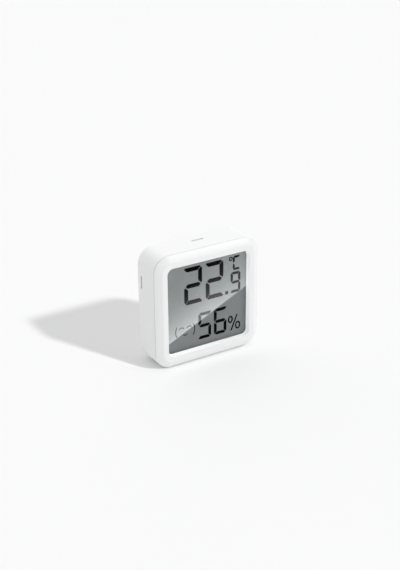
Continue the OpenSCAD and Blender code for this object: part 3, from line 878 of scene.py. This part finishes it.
# The main board: fibreglass under green solder mask, with copper tracks that show as a paler
# green and tinned holes between them. It stands on the four bosses.
def circuit_board(name, mask, track, pitch):
    """Solder mask over tracks on a square grid: each square holds an upright or a level track, or a hole."""
    track_half = 0.16
    hole_r = 0.3
    tin = (0.72, 0.68, 0.55, 1)
    hole_share = 0.06
    copper_t = 0.02 * MM
    weave_size = 0.4 * MM
    material, start = new_finish(name)
    place = object_place(start)
    grid = start.vector("DIVIDE", place, (pitch, 1, pitch))
    square = start.vector("FLOOR", grid)
    draw = start.node("ShaderNodeTexWhiteNoise", {"noise_dimensions": "3D"}, {"Vector": square}, "Value")
    x, y, z = start.vector("SUBTRACT", grid, square).axes()
    to_upright = abs(x - 0.5)
    to_level = abs(z - 0.5)
    level = start.math("GREATER_THAN", draw, 0.5)
    to_track = to_upright + level * (to_level - to_upright)
    on_track = start.math("LESS_THAN", to_track, track_half)
    holed = start.math("LESS_THAN", draw, hole_share)
    in_hole = start.math("LESS_THAN", (to_upright ** 2 + to_level ** 2) ** 0.5, hole_r) * holed
    weave = noise(start, place, weave_size, 3)
    green = (on_track * 0.8 + weave * 0.2).tint(mask, track)
    raised = start.math("MAXIMUM", on_track, in_hole)
    shade(start, {"Base Color": in_hole.tint(green, tin), "Metallic": in_hole * 0.9,
                  "Roughness": 0.32 + weave * 0.12,
                  "Normal": raised.bump(0.5, copper_t)})
    return material


mask_green = (0.008, 0.11, 0.045, 1)
track_green = (0.02, 0.19, 0.08, 1)
dress("main_board", circuit_board("main_board_mask", mask_green, track_green, 1.1 * MM))

# The board's screws: four small thread-forming steel screws with round heads and a cross slot.
# They go through the board's notches into the frame's bosses.
head_r = 1.3 * MM
head_h = 0.7 * MM
head_round = 0.35 * MM
shank_r = 0.5 * MM
thread_depth = 0.08 * MM
thread_pitch = 0.3 * MM
thread_count = 13
board_back = 8.5 * MM
screw_tip = 4.3 * MM
cross_l = 1.56 * MM
cross_w = 0.35 * MM
cross_depth = 0.35 * MM
thread = []
for i in range(thread_count):
    crest = board_back - (i + 0.5) * thread_pitch
    thread += [(shank_r - thread_depth, crest + thread_pitch / 2), (shank_r, crest)]
screw_profile = [
    (0, board_back + head_h),
    *arc((head_r - head_round, board_back + head_h - head_round), (head_round, head_round), 90, 0, 4),
    (head_r, board_back), *thread, (shank_r - thread_depth, screw_tip + thread_pitch), (0, screw_tip)]
screw = turned("screw", screw_profile, (0, 0), 28)
head_top = front_y + board_back + head_h
for half_x, half_z in ((cross_l / 2, cross_w / 2), (cross_w / 2, cross_l / 2)):
    carve(screw, lofted("cross", [[(x * half_x, level, z * half_z) for x, z in corners]
                                  for level in (head_top - cross_depth, head_top + cross_depth)]))
nickel = (0.66, 0.65, 0.62, 1)
nickel_dull = (0.5, 0.49, 0.47, 1)
screw_steel = brushed_metal("screw_steel", nickel, nickel_dull, 0.35, 0.4 * MM, 0.05 * MM)
screws = copies("board_screw_set", screw, boss_places, [0] * 4, screw_steel)
soften(screws)
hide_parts("board_screws")
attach(screws, "case")

# The radio module: a small darker board soldered to the top of the main board, with a tinned steel
# can pressed over its parts. The bare strip above the can is its aerial.
radio_mask = (0.006, 0.05, 0.03, 1)
radio_track = (0.012, 0.09, 0.05, 1)
tin_plate = (0.7, 0.7, 0.68, 1)
tin_dull = (0.56, 0.56, 0.54, 1)
dress("radio_board", circuit_board("radio_board_mask", radio_mask, radio_track, 0.7 * MM))
dress("radio_shield", brushed_metal("tin_plate", tin_plate, tin_dull, 0.32, 4 * MM, 0.1 * MM))


# The humidity sensor: a black moulded chip in the board's cool corner. The round port in its top
# has a pale membrane at its bottom that lets the air in.
def moulded_chip(name, spot_at, spot_r, spot_colour):
    """Matt black moulding compound with one round pale spot on its face."""
    chip_black = (0.018, 0.018, 0.019, 1)
    chip_grey = (0.035, 0.035, 0.036, 1)
    chip_grain = 0.09 * MM
    chip_pits = 0.01 * MM
    material, start = new_finish(name)
    place = object_place(start)
    grains = noise(start, place, chip_grain, 3)
    x, y, z = place.axes()
    spot = start.math("LESS_THAN", ((x - spot_at[0]) ** 2 + (z - spot_at[1]) ** 2) ** 0.5, spot_r)
    shade(start, {"Base Color": spot.tint(grains.tint(chip_black, chip_grey), spot_colour),
                  "Roughness": 0.55 + grains * 0.2,
                  "Normal": grains.bump(0.4, chip_pits)})
    return material


def middle_of(node):
    """The middle (x, z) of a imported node's box, seen from the front."""
    low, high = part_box(node)
    return (low.x + high.x) / 2, (low.z + high.z) / 2


membrane = (0.7, 0.7, 0.68, 1)
port_r = 0.58 * MM
dress("humidity_sensor", moulded_chip("sensor_chip", middle_of("humidity_sensor"), port_r, membrane))

# The display driver: a square moulded chip with a pale dot at its first leg.
# Bent tinned legs along its four sides are soldered to the board.
dot_grey = (0.3, 0.3, 0.3, 1)
dot_r = 0.35 * MM
dot_inset = 0.9 * MM
driver_low, driver_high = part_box("display_driver")
driver_middle = middle_of("display_driver")
dress("display_driver", moulded_chip(
    "driver_chip", (driver_low.x + dot_inset, driver_high.z - dot_inset), dot_r, dot_grey))
legs_per_side = 12
leg_pitch = 0.5 * MM
leg_w = 0.2 * MM
leg_t = 0.12 * MM
leg_foot = 0.45 * MM
leg_reach = 0.9 * MM
leg_rise = 0.6 * MM
leg_root = (driver_high.x - driver_low.x) / 2 - 0.05 * MM
knee = leg_root + leg_reach - leg_foot
leg_line = [(leg_root, leg_rise), (knee, leg_rise), (knee, 0), (leg_root + leg_reach, 0),
            (leg_root + leg_reach, leg_t), (knee + leg_t, leg_t), (knee + leg_t, leg_rise + leg_t),
            (leg_root, leg_rise + leg_t)]
leg = lofted("leg", [[(out, driver_low.y + rise, side * leg_w / 2) for out, rise in leg_line]
                     for side in (-1, 1)])
leg_offsets = [(i - (legs_per_side - 1) / 2) * leg_pitch for i in range(legs_per_side)]
leg_places = []
leg_turns = []
for quarter in quarter_turns:
    for offset in leg_offsets:
        leg_places.append((driver_middle[0] + offset * math.sin(quarter), 0,
                           driver_middle[1] + offset * math.cos(quarter)))
        leg_turns.append(quarter)
leg_tin = brushed_metal("leg_tin", tin_plate, tin_dull, 0.4, 0.3 * MM, 0.03 * MM)
driver_legs = copies("driver_legs", leg, leg_places, leg_turns, leg_tin)
soften(driver_legs)
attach(driver_legs, "case")

# The crystal: a quartz clock in a small seam-welded nickel can, soldered beside the driver.
dress("crystal", brushed_metal("crystal_can", nickel, nickel_dull, 0.3, 1 * MM, 0.05 * MM))

# The capacitors: six small ceramic blocks with tinned ends, soldered in two rows.
# They steady the supply of the driver and the radio.
ceramic = (0.46, 0.33, 0.2, 1)
ceramic_dark = (0.38, 0.26, 0.15, 1)
capacitor_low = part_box("capacitors")[0]
row_pitch = 2.4 * MM
tin_from = 0.5 * MM
capacitor_half = 0.8 * MM
capacitor_row = capacitor_low.z + capacitor_half
tinned, start = new_finish("tinned_ceramic")
place = object_place(start)
up = place.axes()[2]
from_row = abs(start.math("WRAP", up - capacitor_row, row_pitch / 2, -row_pitch / 2))
ends = start.math("GREATER_THAN", from_row, tin_from)
grains = noise(start, place, 0.15 * MM, 3)
shade(start, {"Base Color": ends.tint(grains.tint(ceramic, ceramic_dark), tin_plate),
              "Metallic": ends * 0.9, "Roughness": 0.38 + grains * 0.2})
dress("capacitors", tinned)

# The push switch: a black moulded block soldered to the board, with a dark brown plunger.
# A dome spring in it snaps under the plunger and sends it back.
switch_black = (0.022, 0.022, 0.023, 1)
switch_grey = (0.03, 0.03, 0.031, 1)
plunger_brown = (0.05, 0.032, 0.024, 1)
plunger_dark = (0.04, 0.025, 0.018, 1)
dress("switch_body", moulded_plastic("switch_black", switch_black, switch_grey, 0.5, 0.15 * MM))
dress("switch_plunger", moulded_plastic("plunger_brown", plunger_brown, plunger_dark, 0.45, 0.15 * MM))

# The battery contacts: nickel-plated spring strip, cut and bent, with their feet soldered to the
# board. One presses on the cell's cap with two leaves, the other on its side.
spring_steel = brushed_metal("spring_steel", nickel, nickel_dull, 0.28, 3 * MM, 0.06 * MM)
for contact in ("negative_contact", "positive_contact"):
    dress(contact, spring_steel)

# The coin cell: a drawn stainless steel can crimped over a plastic gasket and a smaller steel cap,
# with the pressed powder of its filling inside.
steel = (0.7, 0.7, 0.69, 1)
steel_dull = (0.6, 0.6, 0.59, 1)
gasket_grey = (0.26, 0.26, 0.27, 1)
gasket_dark = (0.22, 0.22, 0.23, 1)
powder_black = (0.02, 0.02, 0.021, 1)
powder_grey = (0.07, 0.07, 0.072, 1)
powder_grain = 0.2 * MM
powder_pits = 0.04 * MM
dress("cell_can", brushed_metal("can_steel", steel, steel_dull, 0.24, 8 * MM, 0.05 * MM))
dress("cell_cap", brushed_metal("cap_steel", steel, steel_dull, 0.3, 0.8 * MM, 0.2 * MM))
dress("cell_gasket", moulded_plastic("gasket_grey", gasket_grey, gasket_dark, 0.45, 0.2 * MM))
pressed, start = new_finish("pressed_powder")
grains = noise(start, object_place(start), powder_grain, 4)
shade(start, {"Base Color": grains.tint(powder_black, powder_grey), "Roughness": 0.75 + grains * 0.2,
              "Normal": grains.bump(0.7, powder_pits)})
dress("cell_pellet", pressed)

# The rear case: a white moulded tub behind the joint line. A short vent is cut through its top and
# one through its left side, and the back has the round seat of the battery cover and the button hole.
case_wall = 1.6 * MM
case_rim = 2.4 * MM
rim_fall = 0.6 * MM
case_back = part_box("rear_case")[1].y - front_y
back_edge_r = 1.2 * MM
inner_r = 0.5 * MM
back_reach = 7.2 * MM
wall_back = case_back - case_wall
case_profile = [
    (back_reach, wall_back),
    *arc((case_wall + inner_r, wall_back - inner_r), (inner_r, inner_r), 90, 180, 2 * nick_steps),
    *arc((case_wall - nick, case_rim + rim_fall + nick), (nick, nick), 0, -90, nick_steps),
    (rim_fall, case_rim + rim_fall),
    *arc((seam_nick, case_rim + seam_nick), (seam_nick, seam_nick), -45, -180, nick_steps),
    *arc((back_edge_r, case_back - back_edge_r), (back_edge_r, back_edge_r), 180, 90, edge_steps),
    (back_reach, case_back),
]
case_white = moulded_plastic("case_white", white, white_cloud, 0.45, 0.26 * MM)
rear_case = grow(profile_line("rear_case_moulding", case_profile), rim_tree,
                 {**body_rim, "Finish": case_white})
edit(rear_case, close_and_turn_out)

cover_at = Vector((0, 25.5 * MM))
button_at = Vector((17 * MM, 44.5 * MM))
seat_r = 15.7 * MM
button_hole_r = 3.2 * MM
ease = 0.2 * MM
ease_middle = 0.3
past = 0.3 * MM


def round_cut(name, centre, radius, begin):
    """A cutter for a round hole with an eased edge, from a depth out through the back."""
    eased_edge = arc((radius + ease, case_back - ease), (ease, ease), 180, 90, nick_steps)
    return turned(name, [(0, begin), (radius, begin), *eased_edge,
                         (radius + ease, case_back + past), (0, case_back + past)], centre, 128)


def stadium(length, width, grow_by, steps=10):
    """The outline of a slot with round ends, lying along the first axis, grown by a margin."""
    radius = width / 2 + grow_by
    middle = (length - width) / 2
    return (arc((middle, 0), (radius, radius), -90, 90, steps)
            + arc((-middle, 0), (radius, radius), 90, 270, steps))


def slot_cut(name, length, width, levels, at):
    """A cutter for a slot: (margin, level) pairs, set in place by a function of (u, v, level)."""
    return lofted(name, [[at(u, v, level) for u, v in stadium(length, width, margin)]
                         for margin, level in levels])


vent_l = 6.5 * MM
vent_w = 1.1 * MM
vent_ease = 0.12 * MM
top_vent_depth = 11.4 * MM
top_vent_x = 0.5 * MM
side_vent_depth = 13.7 * MM
side_vent_z = mid_z + 12.2 * MM
vent_levels = [(0, -case_wall - past), (0, -vent_ease), (vent_ease * ease_middle, -vent_ease * ease_middle),
               (vent_ease, 0), (vent_ease, past)]
top_vent = slot_cut("top_vent", vent_l, vent_w, vent_levels, lambda u, v, level: (
    top_vent_x + u, front_y + top_vent_depth + v, frame_high.z + level))
side_vent = slot_cut("side_vent", vent_l, vent_w, vent_levels, lambda u, v, level: (
    frame_low.x - level, front_y + side_vent_depth + v, side_vent_z + u))
bead_play = 0.1 * MM
groove = snap_bead("groove", bead_l + 2 * bead_play, bead_top + bead_play,
                   bead_begin - bead_play, bead_end + bead_play)
grooves = copies("grooves", groove, [(0, 0, mid_z)] * 4, quarter_turns, case_white)
carve(rear_case, round_cut("seat", cover_at, seat_r, wall_back - past),
      round_cut("button_hole", button_at, button_hole_r, wall_back - past), top_vent, side_vent, grooves)

well_front = 9.2 * MM
well_step = 12.2 * MM
chamber_front = 13.4 * MM
flange_front = 14.95 * MM
flange_back = 15.95 * MM
well_r = 16.9 * MM
chamber_r = 15.4 * MM
flange_r = 13.9 * MM
pocket_r = 12.6 * MM
pocket_out = 13.8 * MM
well_profile = [(pocket_r, well_front), (pocket_out, well_front), (pocket_out, well_step),
                (well_r, well_step), (well_r, wall_back + nick), (seat_r, wall_back + nick),
                (seat_r, flange_back), (flange_r, flange_back), (flange_r, flange_front),
                (chamber_r, flange_front), (chamber_r, chamber_front), (pocket_r, chamber_front)]
well = turned("battery_well", well_profile, cover_at)


def sectors(name, r_in, r_out, middle, span, begin, end, finish):
    """Three like sectors of a ring about the battery, from their middle angle and span in degrees."""
    outline = (arc((0, 0), (r_out, r_out), middle - span / 2, middle + span / 2, 10)
               + arc((0, 0), (r_in, r_in), middle + span / 2, middle - span / 2, 10))
    model = lofted("sector", [[(x, front_y + depth, z) for x, z in outline] for depth in (begin, end)])
    return copies(name, model, [(cover_at.x, 0, cover_at.y)] * 3, third_turns, finish)


third_turns = [2 * math.pi / 3 * i for i in range(3)]
lug_at = 90
lug_span = 24
free_turn = 40
notch_play = 1
stop_span = 6
stop_play = 1
stop_r = 14.1 * MM
clip_half_w = 3 * MM
clip_low = 15.15 * MM
clip_high = 11.75 * MM
clip_end = 12.7 * MM
to_stop = (lug_span + stop_span) / 2 + stop_play
clip_notch = lofted("clip_notch", [[
    (cover_at.x + x * clip_half_w, front_y + depth, cover_at.y - (clip_low if z < 0 else clip_high))
    for x, z in corners] for depth in (well_front - past, clip_end)])
notches = sectors("notches", flange_r - past, chamber_r, lug_at - free_turn, lug_span + notch_play,
                  flange_front - past, flange_back + past, case_white)
stops = [sectors("stops", stop_r, chamber_r + nick, angle, stop_span,
                 chamber_front - nick, flange_front + nick, case_white)
         for angle in (lug_at + to_stop, lug_at - free_turn - to_stop)]
carve(well, clip_notch, notches)
soften(add_to(rear_case, well, *stops))
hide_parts("rear_case")
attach(rear_case, "case")

# The battery cover: a round white moulding with a coin slot. Three lugs on its skirt turn under
# the flange of its seat, and a ring inside presses on the cell.
cover_r = 15.5 * MM
cover_ease = 0.3 * MM
disc_front = 16.1 * MM
skirt_out = 13.7 * MM
skirt_in = 12.7 * MM
skirt_front = 13.7 * MM
pad_out = 6.125 * MM
pad_in = 4.925 * MM
pad_front = 15.6 * MM
cover_white = moulded_plastic("cover_white", white, white_cloud, 0.45, 0.26 * MM)
cover_profile = [
    (0, case_back),
    *arc((cover_r - cover_ease, case_back - cover_ease), (cover_ease, cover_ease), 90, 0, 6),
    (cover_r, disc_front + nick), (cover_r - nick, disc_front),
    (skirt_out, disc_front), (skirt_out, skirt_front + nick), (skirt_out - nick, skirt_front),
    (skirt_in + nick, skirt_front), (skirt_in, skirt_front + nick), (skirt_in, disc_front),
    (pad_out, disc_front), (pad_out, pad_front + nick), (pad_out - nick, pad_front),
    (pad_in + nick, pad_front), (pad_in, pad_front + nick), (pad_in, disc_front), (0, disc_front),
]
battery_cover = turned("battery_cover_moulding", cover_profile, cover_at, 128)
battery_cover.data.materials.append(cover_white)
coin_l = 14 * MM
coin_w = 2.2 * MM
coin_depth = 0.8 * MM
coin_slot = slot_cut("coin_slot", coin_l, coin_w, [
    (-ease, -coin_depth), (0, ease - coin_depth), (0, -ease),
    (ease * ease_middle, -ease * ease_middle),
    (ease, 0), (ease, past)], lambda u, v, level: (
    cover_at.x + u, front_y + case_back + level, cover_at.y + v))
carve(battery_cover, coin_slot)
lug_r = 15.1 * MM
lug_back = 14.8 * MM
lug_root = skirt_out - 0.3 * MM
lugs = sectors("lugs", lug_root, lug_r, lug_at, lug_span, skirt_front, lug_back, cover_white)
soften(add_to(battery_cover, lugs))
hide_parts("battery_cover")
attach(battery_cover, "cover")

# The pairing button: a small white moulded key with a dished face, held behind the back wall by
# its collar. Its stem stands on the push switch.
key_r = 3.0 * MM
key_face = 17.4 * MM
key_ease = 0.3 * MM
key_dish = 0.25 * MM
dish_r = 2.3 * MM
collar_r = 4.0 * MM
collar_back = 15.8 * MM
collar_front = 15.0 * MM
stem_r = 1.7 * MM
stem_front = 12.9 * MM
dish_steps = 6
dish = [(dish_r * i / dish_steps, key_face - key_dish * (1 - (i / dish_steps) ** 2))
        for i in range(dish_steps + 1)]
key_profile = [
    *dish,
    *arc((key_r - key_ease, key_face - key_ease), (key_ease, key_ease), 90, 0, 6),
    (key_r, collar_back), (collar_r - nick, collar_back), (collar_r, collar_back - nick),
    (collar_r, collar_front + nick), (collar_r - nick, collar_front), (stem_r, collar_front),
    (stem_r, stem_front + nick), (stem_r - nick, stem_front), (0, stem_front),
]
key_white = moulded_plastic("key_white", white, white_cloud, 0.35, 0.2 * MM)
pairing_button = turned("pairing_button_key", key_profile, button_at, 64)
pairing_button.data.materials.append(key_white)
soften(pairing_button)
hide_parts("pairing_button")
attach(pairing_button, "button")
